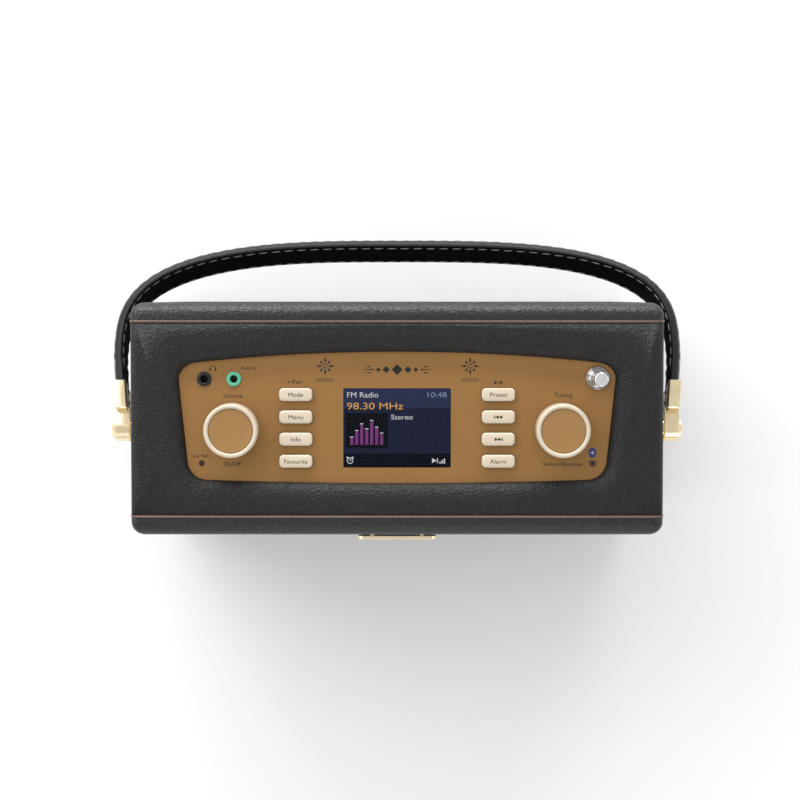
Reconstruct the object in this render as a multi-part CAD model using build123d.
from build123d import *
import math
import os

# A portable radio in a leathercloth cabinet, with a leather strap handle on brass ends.
# Millimetres. The origin is on the floor plane under the middle of the cabinet,
# +X is to the right seen from the front, +Y towards the back, +Z up.

# Cabinet
WIDTH, DEPTH, HEIGHT = 255.0, 111.5, 160.0
FOOT_RADIUS, FOOT_HEIGHT, FOOT_NECK = 7.0, 4.0, 0.6
FOOT_SPACING_X, FOOT_SPACING_Y = 210.0, 76.0
CORNER_RADIUS = 4.0  # outline corners, seen from the front
EDGE_RADIUS = 6.5  # rounding of the front and rear frames
SKIN = 1.2  # leathercloth with its backing
WALL = 8.0
TOP_WALL_BOTTOM = 147.0
FRONT, REAR = 55.0 - DEPTH, 55.0
FRONT_SEAM, REAR_SEAM = -47.3, 46.1  # centres of the two piping lines
PIPING = 1.4
PIPING_PROUD = 0.4

# Control panel and the padded lip around it
PANEL_TOP, PANEL_THICKNESS = 155.0, 2.0
PANEL_UNDERSIDE = PANEL_TOP - PANEL_THICKNESS
PANEL_REAR_CORNER, PANEL_FRONT_CORNER = (105.4, 25.6), (99.6, -29.7)
PANEL_REAR_CROWN, PANEL_FRONT_CROWN = 31.5, -31.6
PANEL_REAR_ROUND, PANEL_FRONT_ROUND = 8.0, 9.5
LIP_WIDTH = 8.0
LEDGE = 2.0

# Controls on the panel
KNOB_X, KNOB_Y = 79.0, -5.8
KNOB_RADIUS, KNOB_TOP, KNOB_BOTTOM = 12.9, 168.0, 156.0
CAP_RADIUS, CAP_TOP, CAP_THICKNESS = 10.6, 167.4, 1.2
SHAFT_RADIUS, RUNNING_CLEARANCE = 3.0, 0.05
BUTTON_X, BUTTON_ROWS = 48.5, (11.0, 0.3, -10.4, -21.0)
BUTTON_WIDTH, BUTTON_DEPTH, BUTTON_ROUND, BUTTON_TOP = 16.0, 6.3, 2.0, 157.6
BUTTON_GAP = 0.25
DISPLAY_WIDTH, DISPLAY_DEPTH, DISPLAY_Y = 51.6, 38.2, -5.1
HEADPHONE_XY, AUX_XY = (-92.4, 18.4), (-78.2, 18.4)
JACK_BORE, JACK_DEPTH = 1.8, 14.0
LAMP_SPOTS = ((-93.7, -22.0, 1.4), (93.9, -22.0, 1.25))
BOARD_TOP, BOARD_THICKNESS = 144.0, 1.6

# Aerial
AERIAL_XY = (96.1, 18.9)
WELL_RADIUS, WELL_BOTTOM = 4.0, 22.0
AERIAL_RADII = (3.0, 2.5, 2.0, 1.5, 1.0)
AERIAL_FOOT, AERIAL_HEAD = 25.0, 157.5
AERIAL_WALL = 0.4
TIP_RADIUS, TIP_BOTTOM, TIP_TOP = 3.4, 162.5, 175.0

# Loudspeaker
SPEAKER_Z = 72.0
BAFFLE_FRONT, BAFFLE_REAR = -46.4, -40.4
GRILLE_HALF_WIDTH, GRILLE_BOTTOM, GRILLE_TOP = 112.0, 16.0, 126.0

# Back, battery compartment and its door
BACK_FRONT, BACK_REAR = 49.5, 53.5
BACK_HALF_WIDTH, BACK_BOTTOM, BACK_TOP = 117.0, 14.0, 150.0
DOOR_HALF_WIDTH, DOOR_TOP = 56.0, 71.4
DOOR_AXIS_Z = 17.6
LOCK_Z = 62.0
SCREW_RADIUS = 1.5
CELL_RADIUS, CELL_LENGTH, CELL_PITCH = 13.0, 50.0, 26.8
CELL_Y, CELL_BOTTOM = 31.0, 17.6
BATTERY_BOX_TOP = CELL_BOTTOM + CELL_LENGTH + 4.0
DC_X, DC_Z, DC_BORE = -94.0, 30.0, 2.8

# Strap handle: v runs from the pivots to the crown in the plane of the handle
PIVOT_Y, PIVOT_Z = -6.8, 129.0
HANDLE_LEAN = 110.0  # degrees from upright, towards the back
STRAP_HALF_SPAN, STRAP_SHOULDER, STRAP_CROWN = 140.3, 35.0, 96.3
STRAP_WIDTH, STRAP_THICKNESS = 22.0, 5.2
STRAP_SQUARENESS = {-1: 2.98, 1: 3.14}
STRAP_FOOT, TONGUE_FOOT, TONGUE = 21.5, 10.5, 2.6
LEG_LEAN = math.tan(math.radians(5.9))
KNUCKLE_RADIUS, KNUCKLE_INNER, KNUCKLE_OUTER = 6.4, 130.7, 138.3
CLIP_HALF_WIDTH, CLIP_FOOT, CLIP_WALL = 11.4, 7.0, 0.6
PIVOT_RADIUS = 3.0
RIVET_RADIUS, RIVETS_AT = 1.2, (12.6, 18.4)


def block(x0, x1, y0, y1, z0, z1):
    """A box between two corners."""
    return Pos((x0 + x1) / 2, (y0 + y1) / 2, (z0 + z1) / 2) * Box(x1 - x0, y1 - y0, z1 - z0)


def post(radius, z0, z1, x=0.0, y=0.0):
    """An upright cylinder."""
    return Pos(x, y, (z0 + z1) / 2) * Cylinder(radius, z1 - z0)


def bar_y(radius, y0, y1, x, z):
    """A cylinder that runs front to back."""
    return Pos(x, (y0 + y1) / 2, z) * Rot(90, 0, 0) * Cylinder(radius, abs(y1 - y0))


def bar_x(radius, x0, x1, y, z):
    """A cylinder that runs left to right."""
    return Pos((x0 + x1) / 2, y, z) * Rot(0, 90, 0) * Cylinder(radius, abs(x1 - x0))


def tablet(width, depth, radius, z0, z1, x=0.0, y=0.0):
    """A flat block whose rounded outline is seen from above."""
    return Pos(x, y, z0) * extrude(RectangleRounded(width, depth, radius), z1 - z0)


def slab(half_width, z0, z1, radius, y0, y1):
    """A flat block whose rounded outline is seen from the front."""
    outline = RectangleRounded(2 * half_width, z1 - z0, radius)
    return Pos(0, y1, (z0 + z1) / 2) * Rot(90, 0, 0) * extrude(outline, y1 - y0)


def cabinet_slab(y0, y1, grow=0.0):
    """A slice of the cabinet's outer outline, from y0 to y1."""
    radius = CORNER_RADIUS + grow
    return slab(WIDTH / 2 + grow, FOOT_HEIGHT - grow, HEIGHT + grow, radius, y0, y1)


def rounded_slice(y0, y1, face):
    """A slice of the cabinet whose edges are rounded over on the outer face."""
    reach = 60.0
    middle = face + math.copysign(reach / 2, -face)
    tall = HEIGHT - FOOT_HEIGHT
    plan = tablet(WIDTH, reach, EDGE_RADIUS, FOOT_HEIGHT, HEIGHT, y=middle)
    side = extrude(RectangleRounded(tall, reach, EDGE_RADIUS), WIDTH)
    side = Pos(-WIDTH / 2, middle, FOOT_HEIGHT + tall / 2) * Rot(0, 90, 0) * side
    return cabinet_slab(y0, y1) & plan & side


def panel_outline(grow=0.0):
    """The control panel's outline, grown by a distance: bowed front and back, leaning ends."""
    (rear_x, rear_y), (front_x, front_y) = PANEL_REAR_CORNER, PANEL_FRONT_CORNER
    rear = ThreePointArc((-rear_x, rear_y), (0, PANEL_REAR_CROWN), (rear_x, rear_y))
    right = Line((rear_x, rear_y), (front_x, front_y))
    front = ThreePointArc((front_x, front_y), (0, PANEL_FRONT_CROWN), (-front_x, front_y))
    left = Line((-front_x, front_y), (-rear_x, rear_y))
    face = make_face([rear, right, front, left])
    corners = face.vertices().sort_by(Axis.Y)
    face = fillet(corners[2:], PANEL_REAR_ROUND)
    face = fillet(face.vertices().sort_by(Axis.Y)[:2], PANEL_FRONT_ROUND)
    return offset(face, grow) if grow else face


def panel_block(grow, z0, z1):
    """The panel's outline, grown, between two heights."""
    return Pos(0, 0, z0) * extrude(panel_outline(grow), z1 - z0)


def sides(make):
    """The shapes that make(sign) gives for the left and right sides."""
    return [make(-1), make(1)]


def group(shapes):
    """Several separate solids kept in one node."""
    solids = [solid for shape in shapes for solid in shape.solids()]
    return Compound(children=solids)


# ---------------------------------------------------------------- cabinet


def cabinet_carcass():
    """Wooden case, open at the front and back, with an opening in the top."""
    front, rear = FRONT_SEAM + PIPING / 2, REAR_SEAM - PIPING / 2
    half, top = WIDTH / 2 - SKIN, HEIGHT - SKIN
    case = slab(half, FOOT_HEIGHT + SKIN, top, CORNER_RADIUS - SKIN, front, rear)
    inside = block(WALL - half, half - WALL, front, rear, FOOT_HEIGHT + SKIN + WALL, TOP_WALL_BOTTOM)
    case -= inside
    case -= panel_block(LIP_WIDTH, PANEL_UNDERSIDE, top)
    case -= panel_block(-LEDGE, TOP_WALL_BOTTOM, PANEL_UNDERSIDE)
    for bore in sides(lambda s: bar_x(PIVOT_RADIUS, 110 * s, 130 * s, PIVOT_Y, PIVOT_Z)):
        case -= bore
    return case


def leather_wrap():
    """The leathercloth skin around the case, between the two piping lines."""
    front, rear = FRONT_SEAM + PIPING / 2, REAR_SEAM - PIPING / 2
    skin = cabinet_slab(front, rear)
    skin -= slab(WIDTH / 2 - SKIN, FOOT_HEIGHT + SKIN, HEIGHT - SKIN, CORNER_RADIUS - SKIN, front, rear)
    skin -= panel_block(LIP_WIDTH, HEIGHT - 2 * SKIN, HEIGHT)
    for bore in sides(lambda s: bar_x(PIVOT_RADIUS, 120 * s, 130 * s, PIVOT_Y, PIVOT_Z)):
        skin -= bore
    return skin


def panel_lip():
    """Padded leather roll that slopes from the top of the cabinet down to the panel."""
    lip = panel_block(LIP_WIDTH, PANEL_UNDERSIDE, HEIGHT) - panel_block(0, PANEL_UNDERSIDE, HEIGHT)
    low, high = panel_outline(), panel_outline(LIP_WIDTH - 1.0)
    slope = loft([Pos(0, 0, PANEL_TOP) * low, Pos(0, 0, HEIGHT) * high])
    return lip - slope


def front_frame():
    """Padded front frame, with the opening for the grille and a rebate behind it."""
    y1 = FRONT_SEAM - PIPING / 2
    frame = rounded_slice(FRONT, y1, FRONT)
    frame -= slab(GRILLE_HALF_WIDTH, GRILLE_BOTTOM, GRILLE_TOP, 5.0, FRONT, y1)
    rebate = 2.5
    frame -= slab(
        GRILLE_HALF_WIDTH + rebate, GRILLE_BOTTOM - rebate, GRILLE_TOP + rebate, 5.0, y1 - 2.0, y1
    )
    return frame


def rear_frame():
    """Padded rear frame, stepped to hold the back panel."""
    y0 = REAR_SEAM + PIPING / 2
    frame = rounded_slice(y0, REAR, REAR)
    frame -= slab(BACK_HALF_WIDTH, BACK_BOTTOM, BACK_TOP, 3.0, BACK_FRONT, REAR)
    frame -= slab(BACK_HALF_WIDTH - 7, BACK_BOTTOM + 1, BACK_TOP - 6, 3.0, y0, BACK_FRONT)
    for x, z in screw_spots():
        frame -= bar_y(SCREW_RADIUS, y0 - 1, REAR, x, z)
    return frame


def piping():
    """Two thin beads, one around each end of the leathercloth wrap."""

    def bead(seam):
        y0, y1 = seam - PIPING / 2, seam + PIPING / 2
        inside = slab(WIDTH / 2 - WALL, FOOT_HEIGHT + WALL, HEIGHT - WALL, 1.0, y0, y1)
        return cabinet_slab(y0, y1, PIPING_PROUD) - inside

    return group([bead(FRONT_SEAM), bead(REAR_SEAM)])


def rubber_feet():
    """Four round feet, each with a narrow neck against the underside."""
    spots = [(x, y) for x in (-1, 1) for y in (-1, 1)]

    def foot(x, y):
        neck = FOOT_HEIGHT - FOOT_NECK
        return post(FOOT_RADIUS, 0, neck, x, y) + post(FOOT_RADIUS - 1.0, neck, FOOT_HEIGHT, x, y)

    return group(foot(x * FOOT_SPACING_X / 2, y * FOOT_SPACING_Y / 2) for x, y in spots)


def front_badge():
    """Plain brass plaque on two short pins."""
    plate_y = FRONT - 3.6
    badge = slab(19.0, 136.0, 144.0, 3.0, plate_y, plate_y + 1.6)
    for x in (-12.0, 12.0):
        badge += bar_y(1.2, plate_y + 1.6, FRONT, x, 140.0)
    return badge


# ---------------------------------------------------------------- loudspeaker


def speaker_grille():
    """Perforated plate that sits in the rebate of the front frame."""
    y1 = FRONT_SEAM - PIPING / 2
    grille = slab(
        GRILLE_HALF_WIDTH + 2.4, GRILLE_BOTTOM - 2.4, GRILLE_TOP + 2.4, 5.0, y1 - 1.9, y1 - 0.4
    )
    rows, slot, pitch = 16, 3.2, 6.4
    for row in range(rows):
        z = GRILLE_BOTTOM + 7 + row * pitch
        for middle in (-72.0, 0.0, 72.0):
            grille -= block(middle - 33, middle + 33, y1 - 3, y1, z - slot / 2, z + slot / 2)
    return grille


def speaker_baffle():
    """Board behind the grille that carries the loudspeaker."""
    half = WIDTH / 2 - SKIN - WALL
    board = block(-half, half, BAFFLE_FRONT, BAFFLE_REAR, FOOT_HEIGHT + SKIN + WALL, TOP_WALL_BOTTOM)
    return board - bar_y(40.0, BAFFLE_FRONT, BAFFLE_REAR, 0, SPEAKER_Z)


def turned(points):
    """A ring turned about the loudspeaker's axis, from (radius, y) points."""
    face = make_face(Polyline(*[(r, y) for r, y in points], close=True))
    ring = revolve(face, Axis.Y)
    return Pos(0, 0, SPEAKER_Z) * ring


def speaker_basket():
    """Pressed frame of the loudspeaker, with windows between its legs."""
    flange = BAFFLE_FRONT
    basket = turned(
        [(38, flange - 1.5), (45, flange - 1.5), (45, flange), (39.8, flange), (39.8, flange + 3),
         (22, -24), (22, -22.5), (11.5, -22.5), (11.5, -24), (19, -24), (38, flange + 3)]
    )
    for step in range(6):
        window = Pos(0, -32, 0) * Box(16, 8, 60)
        basket -= Pos(0, 0, SPEAKER_Z) * Rot(0, 60 * step, 0) * Pos(0, 0, 45) * window
    return basket


def speaker_magnet():
    """Ferrite magnet with its plates and the gap for the voice coil."""
    magnet = bar_y(24.0, -22.5, -8.0, 0, SPEAKER_Z)
    gap = bar_y(11.2, -22.5, -12.0, 0, SPEAKER_Z) - bar_y(8.8, -22.5, -12.0, 0, SPEAKER_Z)
    return magnet - gap


def speaker_cone():
    """Paper cone with its dust cap and the voice coil former."""
    mouth = BAFFLE_FRONT
    cone = turned([(33, mouth), (33.6, mouth), (10.4, -31), (10.4, -15), (9.6, -15), (9.6, -31.5)])
    cap = Pos(0, -31.6, SPEAKER_Z) * Rot(90, 0, 0) * Cylinder(10.4, 0.8)
    return cone + cap


def speaker_surround():
    """Rolled rubber edge between the cone and the basket."""
    y = BAFFLE_FRONT
    return turned([(33.7, y - 0.6), (35.5, y - 1.4), (37.4, y - 0.6), (37.9, y), (33.7, y)])


# ---------------------------------------------------------------- control panel


def button_spots():
    """Centre of each button, left column first, from the back to the front."""
    return [(x, y) for x in (-BUTTON_X, BUTTON_X) for y in BUTTON_ROWS]


def control_panel():
    """Metal panel with its openings for the controls."""
    z0, z1 = PANEL_UNDERSIDE, PANEL_TOP
    panel = panel_block(0, z0, z1)
    gap = BUTTON_GAP
    for x, y in button_spots():
        panel -= tablet(BUTTON_WIDTH + 2 * gap, BUTTON_DEPTH + 2 * gap, BUTTON_ROUND + gap, z0, z1, x, y)
    panel -= tablet(DISPLAY_WIDTH, DISPLAY_DEPTH, 0.6, z0, z1, 0, DISPLAY_Y)
    rounds = [(-KNOB_X, KNOB_Y, 3.6), (KNOB_X, KNOB_Y, 3.6), (*AERIAL_XY, 4.6)]
    rounds += [(*HEADPHONE_XY, 3.4), (*AUX_XY, 3.45), *LAMP_SPOTS]
    for x, y, radius in rounds:
        panel -= post(radius, z0, z1, x, y)
    return panel


def display_lens():
    """Clear window over the display."""
    return tablet(DISPLAY_WIDTH, DISPLAY_DEPTH, 0.6, PANEL_UNDERSIDE, PANEL_TOP - 0.3, 0, DISPLAY_Y)


def display_module():
    """Display with its metal frame, on four short legs."""
    module = tablet(DISPLAY_WIDTH + 6, DISPLAY_DEPTH + 5, 1.0, 148.0, PANEL_UNDERSIDE, 0, DISPLAY_Y)
    for x in (-26.0, 26.0):
        for y in (-17.0, 17.0):
            module += post(1.5, BOARD_TOP, 148.0, x, DISPLAY_Y + y)
    return module


def control_board():
    """Circuit board under the panel, cut back around the auxiliary jack."""
    board = block(-86, 86, -25, 22, BOARD_TOP - BOARD_THICKNESS, BOARD_TOP)
    return board - block(-87, -70, 11, 23, BOARD_TOP - 2, BOARD_TOP)


def button_switches():
    """One push switch under each button."""

    def switch(x, y):
        return block(x - 3, x + 3, y - 3, y + 3, BOARD_TOP, 149.4) + post(1.6, 149.4, 150.3, x, y)

    return group(switch(x, y) for x, y in button_spots())


def button(x, y):
    """A push button with the flange that keeps it under the panel."""
    cap = tablet(BUTTON_WIDTH, BUTTON_DEPTH, BUTTON_ROUND, 151.7, BUTTON_TOP, x, y)
    cap = fillet(cap.faces().sort_by(Axis.Z)[-1].edges(), 0.8)
    flange = tablet(BUTTON_WIDTH + 2.4, BUTTON_DEPTH + 2.4, BUTTON_ROUND, 151.7, 152.8, x, y)
    return cap + flange + post(1.4, 151.0, 151.7, x, y)


def rotary_encoders():
    """Encoder bodies with the threaded bushes that carry the knob shafts."""

    def encoder(sign):
        x = sign * KNOB_X
        body = block(x - 6, x + 6, KNOB_Y - 6, KNOB_Y + 6, BOARD_TOP, PANEL_UNDERSIDE)
        body += post(3.5, PANEL_UNDERSIDE, 155.6, x, KNOB_Y)
        return body - post(SHAFT_RADIUS + RUNNING_CLEARANCE, 145.5, 156, x, KNOB_Y)

    return group(sides(encoder))


def knob_plunger(sign):
    """Push switch slider under a knob's shaft."""
    return post(SHAFT_RADIUS - 0.05, 147.0, 148.5, sign * KNOB_X, KNOB_Y)


def knob(sign):
    """Knob with a rounded lip, a hollow underside and its shaft."""
    body = post(KNOB_RADIUS, KNOB_BOTTOM, KNOB_TOP)
    body = fillet(body.faces().sort_by(Axis.Z)[-1].edges(), 1.1)
    body -= post(CAP_RADIUS, CAP_TOP - CAP_THICKNESS, KNOB_TOP)
    body -= post(KNOB_RADIUS - 2, KNOB_BOTTOM, KNOB_BOTTOM + 2)
    body += post(SHAFT_RADIUS, 148.6, KNOB_BOTTOM + 3)
    return Pos(sign * KNOB_X, KNOB_Y, 0) * body


def knob_cap(sign):
    """Metal disc set in the top of a knob."""
    return post(CAP_RADIUS, CAP_TOP - CAP_THICKNESS, CAP_TOP, sign * KNOB_X, KNOB_Y)


def jack(xy, collar):
    """A 3.5 mm socket with its collar through the panel."""
    x, y = xy
    body = block(x - 4.5, x + 4.5, y - 6.4, y + 3.6, 137.0, PANEL_UNDERSIDE)
    body += post(collar, PANEL_UNDERSIDE, PANEL_TOP + 0.4, x, y)
    return body - post(JACK_BORE, PANEL_TOP + 0.4 - JACK_DEPTH, PANEL_TOP + 0.4, x, y)


def indicator_lamps():
    """Low battery lamp on the left, wireless lamp on the right."""
    return group(post(r, 149.0, PANEL_TOP + 0.2, x, y) for x, y, r in LAMP_SPOTS)


# ---------------------------------------------------------------- aerial


def aerial_well():
    """Tube that the folded aerial stands in."""
    tube = post(WELL_RADIUS, WELL_BOTTOM, PANEL_UNDERSIDE, *AERIAL_XY)
    return tube - post(WELL_RADIUS - 0.7, WELL_BOTTOM + 2, PANEL_UNDERSIDE, *AERIAL_XY)


def aerial_collar():
    """Chromed ring around the mouth of the well."""
    ring = post(5.75, PANEL_TOP, PANEL_TOP + 1.6) + post(4.6, PANEL_UNDERSIDE, PANEL_TOP)
    ring = fillet(ring.faces().sort_by(Axis.Z)[-1].edges(), 0.6)
    return Pos(*AERIAL_XY, 0) * (ring - post(AERIAL_RADII[0] + 0.1, PANEL_UNDERSIDE, PANEL_TOP + 2))


def aerial_section(index):
    """One tube of the aerial, each a little longer than the one it slides in."""
    low, high = AERIAL_FOOT + 2 * index, AERIAL_HEAD + index
    tube = post(AERIAL_RADII[index], low, high)
    return Pos(*AERIAL_XY, 0) * (tube - post(AERIAL_RADII[index] - AERIAL_WALL, low + 1, high))


def aerial_rod():
    """Innermost rod with the tip that the aerial is pulled by."""
    tip = post(TIP_RADIUS, TIP_BOTTOM, TIP_TOP)
    tip = fillet(tip.faces().sort_by(Axis.Z)[-1].edges(), 1.0)
    return Pos(*AERIAL_XY, 0) * (tip + post(AERIAL_RADII[-1], AERIAL_FOOT + 8, TIP_BOTTOM))


# ---------------------------------------------------------------- inside


def main_board():
    """Amplifier and power board, on four spacers over the battery box."""
    board = block(-100, 84, 6, 42, 96, 97.6)
    for x in (-50.0, 50.0):
        for y in (18.0, 38.0):
            board += post(2.5, BATTERY_BOX_TOP, 96, x, y)
    return board


def tuner_module():
    """Screened tuner on the main board."""
    return block(20, 64, 10, 38, 97.6, 103) + block(26, 58, 14, 34, 103, 104.5)


def battery_box():
    """Compartment for the cells, open towards the back."""
    half, y0, y1 = 2 * CELL_PITCH + 2, CELL_Y - CELL_RADIUS - 2, REAR_SEAM - PIPING / 2
    bottom = FOOT_HEIGHT + SKIN + WALL
    box = block(-half, half, y0, y1, bottom, BATTERY_BOX_TOP)
    return box - block(1.5 - half, half - 1.5, y0 + 1.5, y1, bottom + 1.5, BATTERY_BOX_TOP - 1.5)


def cell_spots():
    """Centre of each cell along the compartment."""
    return [(step - 1.5) * CELL_PITCH for step in range(4)]


def battery_cells():
    """Four upright cells, every other one the other way up."""

    def cell(index, x):
        low, high = CELL_BOTTOM, CELL_BOTTOM + CELL_LENGTH
        shell = (low, high - 2.0) if index % 2 else (low + 2.0, high)
        return post(CELL_RADIUS, *shell, x, CELL_Y) + post(3.0, low, high, x, CELL_Y)

    return group(cell(index, x) for index, x in enumerate(cell_spots()))


def battery_contacts():
    """Spring plates at both ends of the cells."""
    low, high = CELL_BOTTOM, CELL_BOTTOM + CELL_LENGTH
    plates = [(x, low - 0.8, low) for x in cell_spots()] + [(x, high, high + 0.8) for x in cell_spots()]
    return group(block(x - 6, x + 6, CELL_Y - 6, CELL_Y + 6, z0, z1) for x, z0, z1 in plates)


# ---------------------------------------------------------------- back


def screw_spots():
    """Places of the screws that hold the back panel."""
    return [(x, z) for x in (-113.4, 113.4) for z in (24.0, 140.0)]


def rear_panel():
    """Back panel with the openings for the battery door and the power socket."""
    panel = slab(BACK_HALF_WIDTH, BACK_BOTTOM, BACK_TOP, 3.0, BACK_FRONT, BACK_REAR)
    half, gap = DOOR_HALF_WIDTH, 0.3
    bottom = DOOR_AXIS_Z - 2.2
    panel -= block(-half - gap, half + gap, BACK_FRONT, BACK_REAR, bottom, DOOR_TOP + gap)
    axis_y = (BACK_FRONT + BACK_REAR) / 2
    panel -= bar_x(1.1, -half - 4, half + 4, axis_y, DOOR_AXIS_Z)
    panel -= bar_y(5.0, BACK_FRONT, BACK_REAR, DC_X, DC_Z)
    for x, z in screw_spots():
        panel -= bar_y(SCREW_RADIUS, BACK_FRONT, BACK_REAR, x, z)
        panel -= bar_y(3.2, BACK_REAR - 1.5, BACK_REAR, x, z)
    return panel


def rear_screws():
    """Four countersunk screws."""

    def screw(x, z):
        head = bar_y(3.0, BACK_REAR - 1.5, BACK_REAR - 0.1, x, z)
        head -= Pos(x, BACK_REAR, z) * Box(4.2, 1.4, 0.8)
        return head + bar_y(SCREW_RADIUS, REAR_SEAM + PIPING / 2, BACK_REAR - 1.5, x, z)

    return group(screw(x, z) for x, z in screw_spots())


def dc_socket():
    """Power socket, let into the back panel."""
    socket = bar_y(5.0, BACK_FRONT - 10, BACK_REAR, DC_X, DC_Z)
    return socket - bar_y(DC_BORE, BACK_REAR - 9, BACK_REAR, DC_X, DC_Z)


def battery_door():
    """Door over the cells, with hinge pins along its lower edge."""
    axis_y = (BACK_FRONT + BACK_REAR) / 2
    half, thickness = DOOR_HALF_WIDTH, BACK_REAR - BACK_FRONT
    door = block(-half, half, BACK_FRONT, BACK_REAR, DOOR_AXIS_Z, DOOR_TOP)
    door += bar_x(thickness / 2, -half, half, axis_y, DOOR_AXIS_Z)
    door += bar_x(1.0, -half - 3.5, half + 3.5, axis_y, DOOR_AXIS_Z)
    return door - bar_y(5.1, BACK_FRONT, BACK_REAR, 0, LOCK_Z)


def battery_door_lock():
    """Quarter-turn lock: a coin-slotted button with a tongue behind the door."""
    lock = bar_y(5.0, BACK_FRONT - 0.1, BACK_REAR, 0, LOCK_Z)
    lock += bar_y(6.5, BACK_REAR + 0.1, BACK_REAR + 1.1, 0, LOCK_Z)
    lock += bar_y(5.0, BACK_REAR - 0.1, BACK_REAR + 0.2, 0, LOCK_Z)
    lock -= Pos(0, BACK_REAR + 1.1, LOCK_Z) * Box(10, 1.6, 1.4)
    return lock + block(-13, 5, BACK_FRONT - 1.7, BACK_FRONT - 0.1, LOCK_Z - 4, LOCK_Z + 4)


# ---------------------------------------------------------------- handle


def handle_plane():
    """The plane of the handle: x to the right, y from the pivots to the crown."""
    lean = math.radians(HANDLE_LEAN)
    return Plane((0, PIVOT_Y, PIVOT_Z), x_dir=(1, 0, 0), z_dir=(0, -math.cos(lean), math.sin(lean)))


def arch(inset):
    """Points along the strap's arch, a superellipse that is squarer on the right side."""
    rise, steps, points = STRAP_CROWN - STRAP_SHOULDER, 10, []
    for sign in (-1, 1):
        power, quarter = STRAP_SQUARENESS[sign], []
        for step in range(steps + 1):
            angle = math.radians(90 * step / steps)
            u, w = math.cos(angle) ** (2 / power), math.sin(angle) ** (2 / power)
            normal = Vector(u ** (power - 1) / STRAP_HALF_SPAN, w ** (power - 1) / rise).normalized()
            x, v = STRAP_HALF_SPAN * u - inset * normal.X, STRAP_SHOULDER + rise * w - inset * normal.Y
            quarter.append((sign * x, v))
        points += quarter[:-1] if sign < 0 else quarter[::-1]
    return points


def handle_strap():
    """Leather strap: a band bent over the crown, with a thin tongue at each end."""
    outer = Spline(*arch(0), tangents=[(0, 1), (0, -1)])
    inner = Spline(*arch(STRAP_THICKNESS), tangents=[(0, 1), (0, -1)])
    left, right = Line(inner @ 0, outer @ 0), Line(outer @ 1, inner @ 1)
    band = extrude(make_face([outer, right, inner, left]), STRAP_WIDTH / 2, both=True)
    for sign in (-1, 1):
        leg = leaning_bar(sign, 0, STRAP_THICKNESS, STRAP_SHOULDER, STRAP_FOOT)
        band += extrude(leg, STRAP_WIDTH / 2, both=True)
        tongue = leaning_bar(sign, 1.3, TONGUE, STRAP_FOOT, TONGUE_FOOT)
        band += extrude(tongue, STRAP_WIDTH / 2 - 1.5, both=True)
        for v in RIVETS_AT:
            band -= bar_x(RIVET_RADIUS, sign * 120, sign * 150, v, 0)
    return handle_plane() * band


def leaning_bar(sign, inset, thickness, high, low):
    """Cross-section of a part of the handle's leg, between two distances from the pivots."""
    outer_high = STRAP_HALF_SPAN - inset - (STRAP_SHOULDER - high) * LEG_LEAN
    outer_low = STRAP_HALF_SPAN - inset - (STRAP_SHOULDER - low) * LEG_LEAN
    points = [(outer_high, high), (outer_high - thickness, high), (outer_low - thickness, low)]
    points.append((outer_low, low))
    return make_face(Polyline(*[(sign * x, v) for x, v in points], close=True))


def handle_end(sign):
    """Brass end: a clip around the strap's tongue and the knuckle on its pivot."""
    clip = leaning_bar(sign, -CLIP_WALL, STRAP_THICKNESS + 2 * CLIP_WALL, STRAP_FOOT, CLIP_FOOT)
    end = extrude(clip, CLIP_HALF_WIDTH, both=True)
    knuckle = bar_x(KNUCKLE_RADIUS, sign * KNUCKLE_INNER, sign * KNUCKLE_OUTER, 0, 0)
    low, high = sorted((sign * KNUCKLE_INNER, sign * KNUCKLE_OUTER))
    arm = block(low, high, 0, CLIP_FOOT + 1.5, -KNUCKLE_RADIUS, KNUCKLE_RADIUS)
    end += arm + knuckle
    pocket = leaning_bar(sign, 1.25, TONGUE + 0.1, STRAP_FOOT, TONGUE_FOOT - 0.3)
    end -= extrude(pocket, STRAP_WIDTH / 2 - 1.4, both=True)
    end -= bar_x(PIVOT_RADIUS + RUNNING_CLEARANCE, sign * 125, sign * 145, 0, 0)
    for v in RIVETS_AT:
        end -= bar_x(RIVET_RADIUS, sign * 120, sign * 150, v, 0)
    return handle_plane() * end


def handle_rivets():
    """Rivets through the brass ends and the strap's tongues."""

    def rivet(sign, v):
        outer = STRAP_HALF_SPAN + CLIP_WALL - (STRAP_SHOULDER - v) * LEG_LEAN
        inner = outer - STRAP_THICKNESS - 2 * CLIP_WALL
        return bar_x(RIVET_RADIUS, sign * (inner - 0.2), sign * (outer + 0.2), v, 0)

    return handle_plane() * group(rivet(sign, v) for sign in (-1, 1) for v in RIVETS_AT)


def handle_plates():
    """Round brass plates on the sides of the cabinet."""

    def plate(sign):
        disc = bar_x(10.0, sign * WIDTH / 2, sign * (WIDTH / 2 + 1.5), PIVOT_Y, PIVOT_Z)
        return disc - bar_x(PIVOT_RADIUS, sign * 120, sign * 130, PIVOT_Y, PIVOT_Z)

    return group(sides(plate))


def handle_studs():
    """Shouldered pivot studs, screwed into the sides of the case."""

    def stud(sign):
        stud = bar_x(PIVOT_RADIUS, sign * (WIDTH / 2 - SKIN - WALL), sign * 139.0, PIVOT_Y, PIVOT_Z)
        stud += bar_x(5.0, sign * (WIDTH / 2 + 1.5), sign * (KNUCKLE_INNER - 0.1), PIVOT_Y, PIVOT_Z)
        return stud + bar_x(4.6, sign * (KNUCKLE_OUTER + 0.1), sign * 139.8, PIVOT_Y, PIVOT_Z)

    return group(sides(stud))


BUTTONS = ("mode", "menu", "info", "favourite", "preset", "previous", "next", "alarm")

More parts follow.
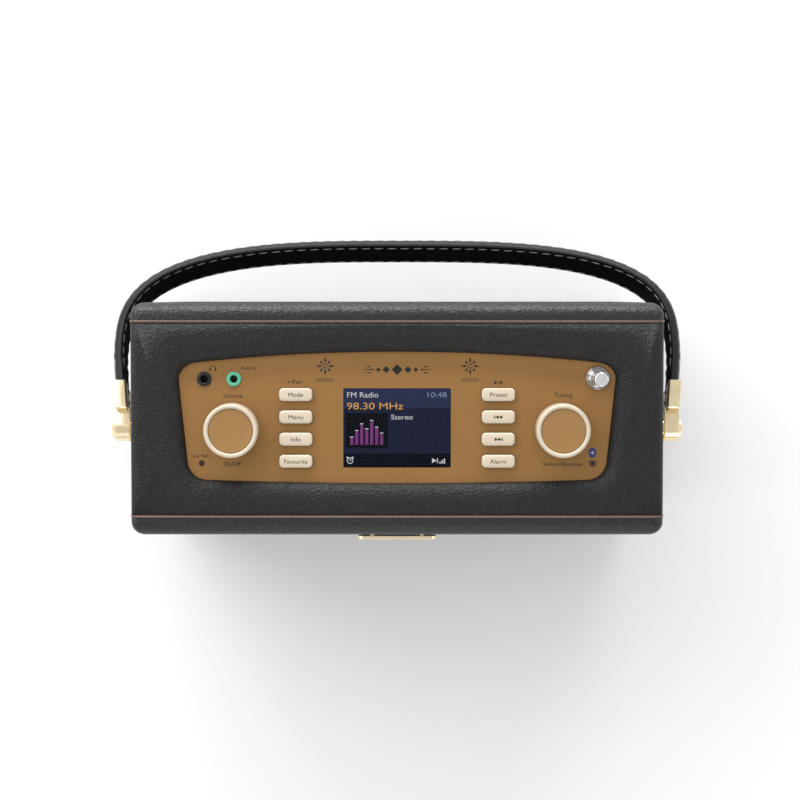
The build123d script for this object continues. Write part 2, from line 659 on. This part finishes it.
PARTS = {
    "cabinet_carcass": cabinet_carcass,
    "leather_wrap": leather_wrap,
    "panel_lip": panel_lip,
    "front_frame": front_frame,
    "rear_frame": rear_frame,
    "piping": piping,
    "rubber_feet": rubber_feet,
    "front_badge": front_badge,
    "speaker_grille": speaker_grille,
    "speaker_baffle": speaker_baffle,
    "speaker_basket": speaker_basket,
    "speaker_magnet": speaker_magnet,
    "speaker_cone": speaker_cone,
    "speaker_surround": speaker_surround,
    "control_panel": control_panel,
    "display_lens": display_lens,
    "display_module": display_module,
    "control_board": control_board,
    "button_switches": button_switches,
    "rotary_encoders": rotary_encoders,
    "volume_plunger": lambda: knob_plunger(-1),
    "volume_knob": lambda: knob(-1),
    "volume_knob_cap": lambda: knob_cap(-1),
    "tuning_plunger": lambda: knob_plunger(1),
    "tuning_knob": lambda: knob(1),
    "tuning_knob_cap": lambda: knob_cap(1),
    "headphone_jack": lambda: jack(HEADPHONE_XY, 3.4),
    "aux_jack": lambda: jack(AUX_XY, 3.45),
    "indicator_lamps": indicator_lamps,
    "aerial_well": aerial_well,
    "aerial_collar": aerial_collar,
    "aerial_base_tube": lambda: aerial_section(0),
    "aerial_second_tube": lambda: aerial_section(1),
    "aerial_third_tube": lambda: aerial_section(2),
    "aerial_fourth_tube": lambda: aerial_section(3),
    "aerial_rod": aerial_rod,
    "main_board": main_board,
    "tuner_module": tuner_module,
    "battery_box": battery_box,
    "battery_cells": battery_cells,
    "battery_contacts": battery_contacts,
    "rear_panel": rear_panel,
    "rear_screws": rear_screws,
    "dc_socket": dc_socket,
    "battery_door": battery_door,
    "battery_door_lock": battery_door_lock,
    "handle_strap": handle_strap,
    "left_handle_end": lambda: handle_end(-1),
    "right_handle_end": lambda: handle_end(1),
    "handle_rivets": handle_rivets,
    "handle_plates": handle_plates,
    "handle_studs": handle_studs,
}
for name, (spot_x, spot_y) in zip(BUTTONS, button_spots()):
    PARTS[name + "_button"] = lambda x=spot_x, y=spot_y: button(x, y)

os.makedirs("parts", exist_ok=True)
for name, make in PARTS.items():
    export_step(make(), f"parts/{name}.step")
    print("wrote", name)
